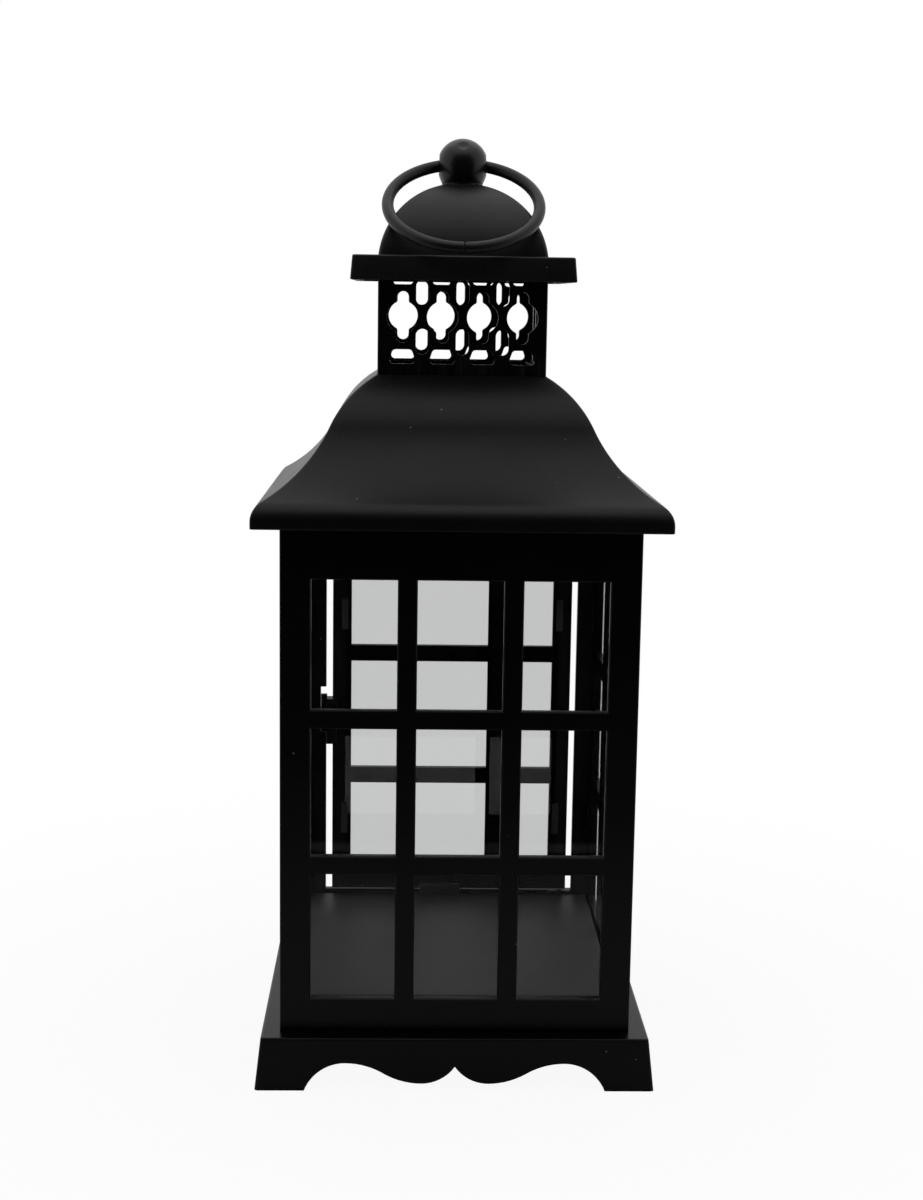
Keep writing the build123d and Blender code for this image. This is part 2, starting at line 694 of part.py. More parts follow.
with BuildPart() as cap:
    add(hipped(cap_section.sketch, plate_half))
    plate_rim = cap.edges().filter_by_position(Axis.Z, plate_top - plate_edge, plate_top + plate_edge)
    fillet(plate_rim.sort_by(SortBy.LENGTH)[-4:], radius=plate_edge)
    add(hipped(cap_hollow.sketch, plate_half), mode=Mode.SUBTRACT)
    with BuildSketch(Plane.XY.offset(deck_under - cap_rib_height)):
        rib_inner = chimney_width + 2 * collar_gap
        Rectangle(rib_inner + 2 * cap_rib, rib_inner + 2 * cap_rib)
        Rectangle(rib_inner, rib_inner, mode=Mode.SUBTRACT)
    extrude(amount=cap_rib_height)
    with BuildSketch(Plane.XY.offset(boss_foot)):
        Circle(knob_foot_radius - seat_inset)
    extrude(amount=knob_seat - boss_foot)
    with BuildSketch(Plane.XY.offset(boss_foot)):
        Circle(shank_radius + shank_hole_gap)
    extrude(amount=knob_seat - boss_foot, mode=Mode.SUBTRACT)
cap.part.label = "cap"
export_step(cap.part, "parts/cap.step")

# Knob: a half ball on a drawn-in foot; its ring hole widens as the curve of the ring needs
knob_top = knob_seat + knob_height
knob_waist = knob_top - knob_radius
ring_pivot_z = knob_seat + ring_pivot_rise
ring_hole = ring_wire_radius + ring_gap
mouth_half = knob_radius + ring_wire_radius
mouth_radius = ring_radius - sqrt((ring_radius - ring_hole) ** 2 - mouth_half**2)
throat_radius = ring_radius - sqrt((ring_radius - ring_hole) ** 2 - throat_half**2)
ring_axis = Axis((0, 0, ring_pivot_z), (1, 0, 0))
dimple_ball = (dimple_radius**2 + dimple_depth**2) / (2 * dimple_depth)
dimple_distance = knob_radius + dimple_ball - dimple_depth
dimple_way = Vector(0, -cos(radians(dimple_lift)), sin(radians(dimple_lift)))
dimple_centre = Vector(0, 0, knob_waist) + dimple_way * dimple_distance

with BuildPart() as knob:
    with BuildSketch(Plane.XZ):
        with BuildLine():
            Line((0, knob_seat), (knob_foot_radius, knob_seat))
            TangentArc((knob_radius, knob_waist), (knob_foot_radius, knob_seat), tangent=(0, -1))
            CenterArc((0, knob_waist), knob_radius, 0, 90)
            Line((0, knob_top), (0, knob_seat))
        make_face()
    revolve(axis=Axis.Z)
    with BuildSketch(Plane.XZ):
        with BuildLine():
            ThreePointArc(
                (-mouth_half, ring_pivot_z + mouth_radius),
                (0, ring_pivot_z + ring_hole),
                (mouth_half, ring_pivot_z + mouth_radius),
            )
            Polyline(
                (mouth_half, ring_pivot_z + mouth_radius),
                (mouth_half, ring_pivot_z),
                (-mouth_half, ring_pivot_z),
                (-mouth_half, ring_pivot_z + mouth_radius),
            )
        make_face()
    revolve(axis=ring_axis, mode=Mode.SUBTRACT)
    with Locations((0, 0, ring_pivot_z)):
        Cylinder(throat_radius, 2 * throat_half, rotation=(0, 90, 0), mode=Mode.SUBTRACT)
    with Locations((0, 0, knob_seat)):
        Cylinder(shank_radius + thread_gap, knob_bite + blind_room, align=LIFT, mode=Mode.SUBTRACT)
    with Locations(dimple_centre):
        Sphere(dimple_ball, mode=Mode.SUBTRACT)
    fillet(knob.edges().sort_by_distance(dimple_centre)[0], radius=dimple_rim)
knob.part.label = "knob"
export_step(knob.part, "parts/knob.step")

knob_screw = pan_screws([(0, 0)], boss_foot, knob_seat - boss_foot + knob_bite)
knob_screw.part.label = "knob_screw"
export_step(knob_screw.part, "parts/knob_screw.step")


def ring_clearance(tilt):
    """Least gap between the wire, tilted down by tilt degrees, and the dome's hips or the plate's rim."""
    steps = 120
    least = ring_radius
    for i in range(1, steps):
        turn = radians(180 * i / steps)
        out = ring_radius * (1 - cos(turn))
        x = ring_radius * sin(turn)
        y = out * cos(radians(tilt))
        z = ring_pivot_z - out * sin(radians(tilt))
        least = min(least, hypot(max(x - plate_top_half, y - plate_top_half, 0), max(z - plate_top, 0)))
        for j in range(1, steps):
            rise = radians(90 * j / steps)
            hip = dome_radius * cos(rise)
            hip_z = dome_centre + dome_radius * sin(rise)
            least = min(least, hypot(x - hip, y - hip, z - hip_z))
    return least - ring_wire_radius


# Hanging ring, tilted forwards until it lies on the two front hips of the dome
ring_tilt = 0.0
for tilt_step in (1.0, 0.02):
    while ring_clearance(ring_tilt + tilt_step) > ring_rest_gap:
        ring_tilt += tilt_step
down = Vector(0, -cos(radians(ring_tilt)), -sin(radians(ring_tilt)))
across = Vector(0, sin(radians(ring_tilt)), -cos(radians(ring_tilt)))
ring_centre = Vector(0, 0, ring_pivot_z) + down * ring_radius
ring_foot = ring_centre + down * ring_radius

with BuildPart() as ring_handle:
    with BuildSketch(Plane(ring_centre + Vector(ring_radius, 0, 0), x_dir=(1, 0, 0), z_dir=down)):
        Circle(ring_wire_radius)
    revolve(axis=Axis(ring_centre, across))
    with BuildSketch(Plane(ring_foot, x_dir=(1, 0, 0), z_dir=across)):
        with BuildLine():
            seam_rim = ring_wire_radius + seam_depth
            Polyline(
                (-seam_width, seam_rim),
                (seam_width, seam_rim),
                (0, ring_wire_radius - seam_depth),
                close=True,
            )
        make_face()
    revolve(axis=Axis(ring_foot, (1, 0, 0)), mode=Mode.SUBTRACT)
ring_handle.part.label = "ring_handle"
export_step(ring_handle.part, "parts/ring_handle.step")

print("ring tilt", round(ring_tilt, 2), "ring axis height", round(ring_pivot_z, 3))
print("hinge at", round(hinge_x, 3), round(hinge_y, 3), "total height", round(knob_top, 2))
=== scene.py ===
"""Black lantern on a pale floor, seen from the front and a little above.

Lengths are metres in the part's own frame: +Z up, the front towards -Y, the origin on the floor
under the middle of the lantern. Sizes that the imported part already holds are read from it.
"""

import json

import bmesh
import bpy
import numpy as np
from mathutils import Matrix, Vector


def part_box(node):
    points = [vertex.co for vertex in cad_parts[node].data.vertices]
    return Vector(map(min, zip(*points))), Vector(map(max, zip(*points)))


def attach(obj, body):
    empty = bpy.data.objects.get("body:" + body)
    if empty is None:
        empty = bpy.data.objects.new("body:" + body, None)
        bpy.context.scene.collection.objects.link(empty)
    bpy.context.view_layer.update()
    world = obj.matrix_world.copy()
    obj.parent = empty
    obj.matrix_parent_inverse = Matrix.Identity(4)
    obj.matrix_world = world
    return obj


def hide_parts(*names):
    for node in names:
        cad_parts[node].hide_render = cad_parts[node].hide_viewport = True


MM = 0.001

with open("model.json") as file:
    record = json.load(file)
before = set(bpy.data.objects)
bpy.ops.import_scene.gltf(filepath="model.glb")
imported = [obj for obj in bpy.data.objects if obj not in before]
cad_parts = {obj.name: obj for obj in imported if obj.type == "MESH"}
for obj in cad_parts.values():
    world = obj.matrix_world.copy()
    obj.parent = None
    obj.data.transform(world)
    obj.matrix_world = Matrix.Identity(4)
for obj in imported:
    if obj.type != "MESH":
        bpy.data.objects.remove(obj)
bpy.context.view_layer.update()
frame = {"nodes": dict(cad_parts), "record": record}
nodes = frame["nodes"]


# Levels and half widths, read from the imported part

roof_low, roof_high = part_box("roof")
chimney_low, chimney_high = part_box("chimney_front")
cap_low, cap_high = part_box("cap")
EAVE_HALF = roof_high.x
EAVE_Z = roof_low.z
COLLAR_TOP = roof_high.z
ROOF_TOP = chimney_low.z
CHIMNEY_HALF = chimney_high.x
CAP_DECK_UNDER = chimney_high.z
CAP_HALF = cap_high.x
CAP_FOOT = cap_low.z
KNOB_SEAT = cap_high.z
WALL_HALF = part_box("front_wall")[1].x
WALL_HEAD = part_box("front_wall")[1].z

# Roof
FASCIA = 2.4 * MM
LIP_RADIUS = 7.0 * MM
ROOF_SLOPE = np.radians(29.9)
BELL_SHARE = 0.423  # turn of the bell curve, as a share of the way from the chimney to the lip
ROOF_WALL = 2.2 * MM
COLLAR_WALL = 1.6 * MM
COLLAR_ROOM = 2.15 * MM  # chimney wall and its gap, outside the collar
HIP_RADIUS = 0.7 * MM
RIM_RADIUS = 0.4 * MM
RIB_PLACE = 32.0 * MM
RIB_THICKNESS = 2.0 * MM
RIB_REACH = 9.6 * MM  # rib over the head of the wall, from the wall's outer face
RIB_GAP = 0.25 * MM
RIB_LIFT = 1.5 * MM

# Cap
CAP_WALL = 2.2 * MM
CAP_DRAFT = 0.6 * MM
CAP_EDGE = 0.6 * MM
CAP_RIB = 1.4 * MM
CAP_RIB_HEIGHT = 3.4 * MM
CAP_RIB_GAP = 0.15 * MM
DOME_RISE = 24.8 * MM
DOME_HIP = 1.3 * MM
BOSS_RADIUS = 6.9 * MM
BOSS_HOLE = 1.7 * MM
BOSS_DROP = 4.3 * MM

# Fineness of the surfaces: points along each curve, and what counts as one point
LIP_STEPS = 16
BELL_STEPS = 30
RIM_STEPS = 5
RIB_STEPS = 12
DOME_STEPS = 48
INNER_DOME_STEPS = 32
EDGE_STEPS = 6
SIDE_STEPS = 7
CORNER_STEPS = 6
CIRCLE_STEPS = 64
CORNER_LIMIT = 0.98  # largest corner radius, as a share of the half width
CREASE = np.radians(38)
SAME_POINT = 1e-7
NO_LENGTH = 1e-8


# Surfaces


def unit(vectors):
    """Vectors divided by their lengths."""
    return vectors / np.linalg.norm(vectors, axis=-1, keepdims=True)


def turned(vector, angle):
    """A flat vector turned anticlockwise by each of the angles."""
    c, s = np.cos(angle), np.sin(angle)
    return np.stack([c * vector[0] - s * vector[1], s * vector[0] + c * vector[1]], axis=-1)


def tangent_arc(start, tangent, end, steps):
    """Arc from start, along tangent there, to end.

    The arc turns by twice the angle between tangent and chord, so the chord to a point after a
    turn of f is 2 R sin(f / 2) long and lies f / 2 away from the tangent.
    """
    chord = end - start
    lean = np.arctan2(tangent[0] * chord[1] - tangent[1] * chord[0], tangent @ chord)
    half_turn = lean * np.linspace(0, 1, steps)
    reach = np.linalg.norm(chord) / np.sin(lean) * np.sin(half_turn)
    return start + reach[:, None] * turned(tangent, half_turn)


def round_arc(centre, radius, first, last, steps):
    """Points of a circle between two angles, both in radians."""
    angle = np.linspace(first, last, steps)
    return centre + radius * np.stack([np.cos(angle), np.sin(angle)], axis=-1)


def inner_line(line, distance):
    """The line moved by distance to the left of its own direction."""
    along = unit(np.gradient(line, axis=0))
    return line + distance * np.stack([-along[:, 1], along[:, 0]], axis=-1)


def square_loops(halves, corners):
    """Level loops of rounded squares, one for each half width, all with the same count of points.

    Each quarter runs along a side and then round the corner: a corner point is the corner's centre,
    (half - corner) both ways, plus the corner radius in the direction of an angle from 0 to 90
    degrees. Points along a side lie closer together towards its ends, as the sine of an even angle.
    """
    corners = np.minimum(corners, CORNER_LIMIT * halves)
    spread = np.sin(np.linspace(-np.pi / 2, np.pi / 2, SIDE_STEPS + 2))[1:-1]
    straight = halves - corners
    side_x = np.repeat(halves[:, None], SIDE_STEPS, axis=1)
    side_y = straight[:, None] * spread
    angle = np.linspace(0, np.pi / 2, CORNER_STEPS)
    corner_x = straight[:, None] + corners[:, None] * np.cos(angle)
    corner_y = straight[:, None] + corners[:, None] * np.sin(angle)
    x = np.concatenate([side_x, corner_x], axis=1)
    y = np.concatenate([side_y, corner_y], axis=1)
    return np.concatenate(
        [np.stack(pair, axis=-1) for pair in ((x, y), (-y, x), (-x, -y), (y, -x))], axis=1
    )


def round_loops(radii):
    """Level circles, one for each radius."""
    angle = np.linspace(0, 2 * np.pi, CIRCLE_STEPS, endpoint=False)
    return radii[:, None, None] * np.stack([np.cos(angle), np.sin(angle)], axis=-1)


def lifted(loops, levels):
    """Level loops as points in space, each loop at its own height."""
    heights = np.broadcast_to(levels[:, None, None], loops.shape[:2] + (1,))
    return np.concatenate([loops, heights], axis=-1)


def grid_faces(rows, columns, rows_close):
    """Quads between neighbouring points of a grid whose columns close on themselves."""
    row = np.arange(rows if rows_close else rows - 1)
    column = np.arange(columns)
    here, there = np.meshgrid(row, column, indexing="ij")
    next_row, next_column = (here + 1) % rows, (there + 1) % columns
    quads = np.stack(
        [
            here * columns + there,
            here * columns + next_column,
            next_row * columns + next_column,
            next_row * columns + there,
        ],
        axis=-1,
    )
    return quads.reshape(-1, 4)


def piece_from_grids(name, grids):
    """One object from several closed grids of points, given as (points, rows_close).

    Points that fall together at a pole are merged, faces are turned outwards, and edges sharper than
    the crease angle stay sharp.
    """
    points, faces, count = [], [], 0
    for grid, rows_close in grids:
        rows, columns = grid.shape[:2]
        points.append(grid.reshape(-1, 3))
        faces.append(grid_faces(rows, columns, rows_close) + count)
        count += rows * columns
    mesh = bpy.data.meshes.new(name)
    mesh.from_pydata(np.concatenate(points).tolist(), [], np.concatenate(faces).tolist())
    piece = bpy.data.objects.new(name, mesh)
    bpy.context.scene.collection.objects.link(piece)
    tidy_mesh(mesh)
    mesh.polygons.foreach_set("use_smooth", np.ones(len(mesh.polygons), bool))
    mesh.set_sharp_from_angle(angle=CREASE)
    return piece


def tidy_mesh(mesh):
    """Merges points that lie together and turns every face outwards."""
    work = bmesh.new()
    work.from_mesh(mesh)
    bmesh.ops.remove_doubles(work, verts=work.verts, dist=SAME_POINT)
    bmesh.ops.dissolve_degenerate(work, edges=work.edges, dist=NO_LENGTH)
    bmesh.ops.recalc_face_normals(work, faces=work.faces)
    work.to_mesh(mesh)
    work.free()


# Roof: the bell-cast shell, with a rounded lip, a collar inside the chimney and eight ribs


def roof_outside():
    """Half width and height from the chimney's foot down the bell, round the lip and down the fascia.

    The bell is two arcs that share a tangent where they meet: a hollow one over the lip and a round
    one under the chimney. The lip is an arc that ends in the upright fascia.
    """
    centre = np.array([EAVE_HALF - LIP_RADIUS, EAVE_Z + FASCIA])
    lip = round_arc(centre, LIP_RADIUS, 0, np.pi / 2 - ROOF_SLOPE, LIP_STEPS)
    up_slope = np.array([-np.cos(ROOF_SLOPE), np.sin(ROOF_SLOPE)])
    head = np.array([CHIMNEY_HALF, ROOF_TOP])
    middle = head + BELL_SHARE * (lip[-1] - head)
    lower = tangent_arc(lip[-1], up_slope, middle, BELL_STEPS)
    lean = np.arctan2(*(middle - lip[-1])[::-1]) - np.arctan2(up_slope[1], up_slope[0])
    upper = tangent_arc(middle, turned(up_slope, 2 * lean), head, BELL_STEPS)
    fascia = np.array([[EAVE_HALF, EAVE_Z + RIM_RADIUS]])
    rising = np.concatenate([fascia, lip, lower[1:], upper[1:]])
    return rising[::-1]


def roof_shell():
    """The shell as rounded squares round a closed outline.

    The outline runs from the chimney's foot round the eaves and back up inside, one wall thickness
    from the outer line, to the collar.
    """
    outside = roof_outside()
    inside = inner_line(outside[1:-1], -ROOF_WALL)[::-1]
    rim_out = np.array([EAVE_HALF - RIM_RADIUS, EAVE_Z + RIM_RADIUS])
    rim_in = np.array([EAVE_HALF - ROOF_WALL + RIM_RADIUS, EAVE_Z + RIM_RADIUS])
    outer_rim = round_arc(rim_out, RIM_RADIUS, 0, -np.pi / 2, RIM_STEPS)[1:]
    inner_rim = round_arc(rim_in, RIM_RADIUS, -np.pi / 2, -np.pi, RIM_STEPS)
    collar_half = CHIMNEY_HALF - COLLAR_ROOM
    flue_half = collar_half - COLLAR_WALL
    collar = np.array(
        [
            [flue_half, ROOF_TOP - ROOF_WALL],
            [flue_half, COLLAR_TOP],
            [collar_half, COLLAR_TOP],
            [collar_half, ROOF_TOP],
        ]
    )
    outline = np.concatenate([outside, outer_rim, inner_rim, inside, collar])
    hips = np.full(len(outline), RIM_RADIUS)
    hips[: len(outside) + len(outer_rim)] = HIP_RADIUS
    return lifted(square_loops(outline[:, 0], hips), outline[:, 1])


def roof_ribs():
    """Upright plates between the shell and the heads of the walls.

    A plate is a row of four-cornered sections along its length, level below and ending above in the
    middle of the shell's wall. Both ends close in the middle of their section.
    """
    outside = roof_outside()
    middle = inner_line(outside, -ROOF_WALL / 2)
    order = np.argsort(middle[:, 0])
    near, step, far = WALL_HALF - RIB_REACH, WALL_HALF + RIB_GAP, EAVE_HALF - ROOF_WALL / 2
    ribs = []
    for first, last, low in ((near, step, WALL_HEAD), (step, far, EAVE_Z + RIB_LIFT)):
        out = np.linspace(first, last, RIB_STEPS)
        high = np.interp(out, middle[order, 0], middle[order, 1])
        side = np.array([-1, 1, 1, -1]) * RIB_THICKNESS / 2
        level = np.stack([np.full_like(out, low), np.full_like(out, low), high, high], axis=1)
        length = np.repeat(out[:, None], 4, axis=1)
        plate = np.stack([length, np.broadcast_to(side, level.shape), level], axis=-1)
        ends = plate[[0, -1]].mean(axis=1, keepdims=True).repeat(4, axis=1)
        capped = np.concatenate([ends[:1], plate, ends[1:]])
        for quarter in range(4):
            c, s = np.cos(quarter * np.pi / 2), np.sin(quarter * np.pi / 2)
            for place in (-RIB_PLACE, RIB_PLACE):
                x, y, z = capped[..., 0], capped[..., 1] + place, capped[..., 2]
                ribs.append((np.stack([c * x - s * y, s * x + c * y, z], axis=-1), False))
    return ribs


roof = piece_from_grids("roof_shell", [(roof_shell(), True)] + roof_ribs())
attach(roof, "lantern")
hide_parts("roof")


# Cap: a skirted plate and a four-sided dome in one shell, with a rib round the chimney's head


def cap_shell():
    """The cap as rounded squares round an outline that starts and ends at the crown.

    The outline runs down the dome's arc, round the plate and its skirt, and back up inside.
    """
    plate_top = CAP_DECK_UNDER + CAP_WALL
    crown = plate_top + DOME_RISE
    dome_radius = (CHIMNEY_HALF**2 + DOME_RISE**2) / (2 * DOME_RISE)
    centre = np.array([0, crown - dome_radius])
    springing = np.arcsin((plate_top - centre[1]) / dome_radius)
    dome = round_arc(centre, dome_radius, np.pi / 2, springing, DOME_STEPS)
    plate_half = CAP_HALF - CAP_DRAFT
    edge_centre = np.array([plate_half - CAP_EDGE, plate_top - CAP_EDGE])
    edge = round_arc(edge_centre, CAP_EDGE, np.pi / 2, 0, EDGE_STEPS)
    rim_centre = np.array([CAP_HALF - RIM_RADIUS, CAP_FOOT + RIM_RADIUS])
    rim_out = round_arc(rim_centre, RIM_RADIUS, 0, -np.pi / 2, RIM_STEPS)
    skirt_half = plate_half - CAP_WALL
    rib_half = CHIMNEY_HALF + CAP_RIB_GAP
    inner_radius = dome_radius - CAP_WALL
    inner_springing = np.arcsin((CAP_DECK_UNDER - centre[1]) / inner_radius)
    under = np.array(
        [
            [skirt_half, CAP_FOOT],
            [skirt_half, CAP_DECK_UNDER],
            [rib_half + CAP_RIB, CAP_DECK_UNDER],
            [rib_half + CAP_RIB, CAP_DECK_UNDER - CAP_RIB_HEIGHT],
            [rib_half, CAP_DECK_UNDER - CAP_RIB_HEIGHT],
            [rib_half, CAP_DECK_UNDER],
        ]
    )
    inner_dome = round_arc(centre, inner_radius, inner_springing, np.pi / 2, INNER_DOME_STEPS)
    outline = np.concatenate([dome, edge, rim_out, under, inner_dome])
    outline[0, 0] = outline[-1, 0] = 0
    hips = np.full(len(outline), RIM_RADIUS)
    hips[: len(dome)] = DOME_HIP
    hips[len(dome) : len(dome) + len(edge) + len(rim_out)] = HIP_RADIUS
    return lifted(square_loops(outline[:, 0], hips), outline[:, 1])


def knob_boss():
    """The round boss under the knob, with the hole of its screw, as circles round a closed outline."""
    outline = np.array(
        [
            [BOSS_HOLE, KNOB_SEAT - BOSS_DROP],
            [BOSS_RADIUS, KNOB_SEAT - BOSS_DROP],
            [BOSS_RADIUS, KNOB_SEAT],
            [BOSS_HOLE, KNOB_SEAT],
        ]
    )
    return lifted(round_loops(outline[:, 0]), outline[:, 1])


cap = piece_from_grids("cap_shell", [(cap_shell(), False), (knob_boss(), True)])
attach(cap, "lantern")
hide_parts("cap")


# Finishes

BLACK = (0.0016, 0.0016, 0.0018, 1)
RING_BLACK = (0.006, 0.006, 0.0062, 1)
# Painted light: the door and back frames get a black five times lighter than the rest, standing in for
# light on the door bars inside the lantern.
FRAME_BLACK_PAINTED_LIGHT = (0.008, 0.008, 0.0085, 1)
# The pane clips get a grey much lighter than the frames' black.
CLIP_GREY = (0.045, 0.045, 0.046, 1)
WINDOW_TINT = (0.985, 0.985, 0.985, 1)
# Painted shade: beyond the slight grey of a clear sheet, the door sheet's tint darkens what is seen
# through it, standing in for the shade on the backdrop behind the lantern.
DOOR_SHEET_PAINTED_SHADE_TINT = (0.60, 0.605, 0.605, 1)
ZINC_DULL, ZINC_BRIGHT = (0.42, 0.42, 0.43, 1), (0.6, 0.6, 0.6, 1)
WHITE = (1, 1, 1, 1)

# Noises, each as features a metre, detail and roughness, and stretches along X, Y and Z
CLOUD_NOISE = (38, 4.0, 0.6)
FINE_NOISE = (2400, 2.0, 0.6)
BROAD_NOISE = (520, 3.0, 0.55)
FLOW_NOISE, FLOW_STRETCH = (700, 3.0, 0.6), (1, 1, 0.04)
WEAR_NOISE = (130, 5.0, 0.7)
SMEAR_NOISE, SMEAR_STRETCH = (60, 5.0, 0.65), (1, 1, 0.35)
TURNING_NOISE, TURNING_STRETCH = (900, 3.0, 0.6), (1, 1, 6)
STAIN_NOISE = (140, 3.0, 0.5)

# Moulded plastic
GRAIN_DEPTH = 0.12 * MM
FINE_SHARE, BROAD_SHARE = 0.65, 0.35  # of the two noises in the grain
CLOUD_RANGE = (0.35, 0.75)  # noise over which the colour pales
PALE_TIMES, PALE_SHARE = 3.0, 0.35  # brightness of the pale colour, and its largest share
FINE_IN_ROUGHNESS = 0.5  # weight of the fine noise beside the cloud
ROUGHNESS_RANGE = (0.4, 1.0)  # noise over which the roughness rises

# Wear, and a painted reflection of the roof in the scratches at the chimney's foot
EDGE_ROUNDING = 0.3 * MM
EDGE_SAMPLES = 4
EDGE_BEND = (0.99, 0.86)  # cosine of the bend where wear starts and where it is full
WEAR_RANGE = (0.52, 0.68)  # noise over which a rubbed patch fades in
WORN_COLOUR, WORN_SHARE = (0.05, 0.05, 0.05, 1), 0.6
SCRATCH_REFLECTION_COLOUR, SCRATCH_REFLECTION_RANGE = (0.014, 0.014, 0.014, 1), (0.5, 0.68)
SCRATCH_REFLECTION_TOP, SCRATCH_REFLECTION_FULL = 9.0 * MM, 4.0 * MM  # chimney foot above the roof: scratches with a painted reflection of the roof

# Dust
DUST_COLOUR = (0.2, 0.2, 0.2, 1)
DUST_CELLS = 300.0  # cells a metre
DUST_DOT = (0.05, 0.09)  # inner and outer radius of a speck, as shares of a cell
DUST_STEP = 0.01  # softness of the choice of cells

# Sheets and steel
SMEAR_RANGE = (0.45, 0.8)
TURNING_RANGE, TURNING_DEPTH = (0.3, 0.7), 0.25
ZINC_ROUGHNESS = (0.28, 0.45)

NO_BOUNCE = 0.5  # count of mirror bounces under which a ray comes straight from the eye


class Finish:
    """A material's node tree, with a short way to add and link its nodes."""

    def __init__(self, name):
        self.material = bpy.data.materials.new(name)
        self.material.use_nodes = True
        self.tree = self.material.node_tree
        self.tree.nodes.clear()
        self.output = self.add("ShaderNodeOutputMaterial")
        self.place = self.add("ShaderNodeTexCoord").outputs["Object"]

    def add(self, kind, inputs=None, **settings):
        """A new node; an input given as a socket is linked, and any other value is set on it."""
        made = self.tree.nodes.new(kind)
        for key, value in settings.items():
            setattr(made, key, value)
        for key, value in (inputs or {}).items():
            if isinstance(value, bpy.types.NodeSocket):
                self.tree.links.new(value, made.inputs[key])
            else:
                made.inputs[key].default_value = value
        return made

    def noise(self, kind, stretch=None):
        """Noise of a kind given as features a metre, detail and roughness, stretched if asked for."""
        scale, detail, roughness = kind
        place = self.stretched(stretch) if stretch else self.place
        inputs = {"Vector": place, "Scale": scale, "Detail": detail, "Roughness": roughness}
        return self.add("ShaderNodeTexNoise", inputs).outputs["Fac"]

    def span(self, value, from_low, from_high, to_low, to_high):
        """A value mapped from one range to another, and held inside the second."""
        inputs = {0: value, 1: from_low, 2: from_high, 3: to_low, 4: to_high}
        return self.add("ShaderNodeMapRange", inputs, clamp=True).outputs[0]

    def math(self, operation, first, second):
        """One operation on two values."""
        return self.add("ShaderNodeMath", {0: first, 1: second}, operation=operation).outputs[0]

    def mixed(self, share, first, second):
        """Two colours mixed by share."""
        inputs = {"Factor": share, 6: first, 7: second}
        return self.add("ShaderNodeMix", inputs, data_type="RGBA").outputs[2]

    def stretched(self, scale):
        """Object coordinates scaled differently along each axis."""
        return self.add("ShaderNodeMapping", {"Vector": self.place, "Scale": scale}).outputs["Vector"]

    def seen_directly(self):
        """1 for a ray from the eye, also through a sheet, and 0 for one that lights or is mirrored."""
        path = self.add("ShaderNodeLightPath").outputs
        direct = self.math("LESS_THAN", path["Glossy Depth"], NO_BOUNCE)
        through = self.math("MULTIPLY", path["Is Transmission Ray"], direct)
        return self.math("MAXIMUM", path["Is Camera Ray"], through)

    def show(self, shader):
        """Sends a shader to the output and gives the finished material."""
        self.tree.links.new(shader, self.output.inputs["Surface"])
        return self.material


def dust(finish, share):
    """Pale specks: small dots in a chosen share of the cells of a cell pattern."""
    cells = finish.add("ShaderNodeTexVoronoi", {"Vector": finish.place, "Scale": DUST_CELLS})
    draw = finish.add("ShaderNodeSeparateColor", {0: cells.outputs["Color"]}).outputs[0]
    chosen = finish.span(draw, 1 - share, 1 + DUST_STEP - share, 0, 1)
    dot = finish.span(cells.outputs["Distance"], *DUST_DOT, 1, 0)
    return finish.math("MULTIPLY", chosen, dot)


def rubbed_edges(finish, rounded):
    """Share of wear: where the rounded normal leaves the flat one, broken up by noise."""
    flat = finish.add("ShaderNodeNewGeometry").outputs["Normal"]
    bend = finish.add("ShaderNodeVectorMath", {0: rounded, 1: flat}, operation="DOT_PRODUCT")
    edge = finish.span(bend.outputs["Value"], *EDGE_BEND, 0, 1)
    patches = finish.span(finish.noise(WEAR_NOISE), *WEAR_RANGE, 0, 1)
    return finish.math("MULTIPLY", edge, patches)


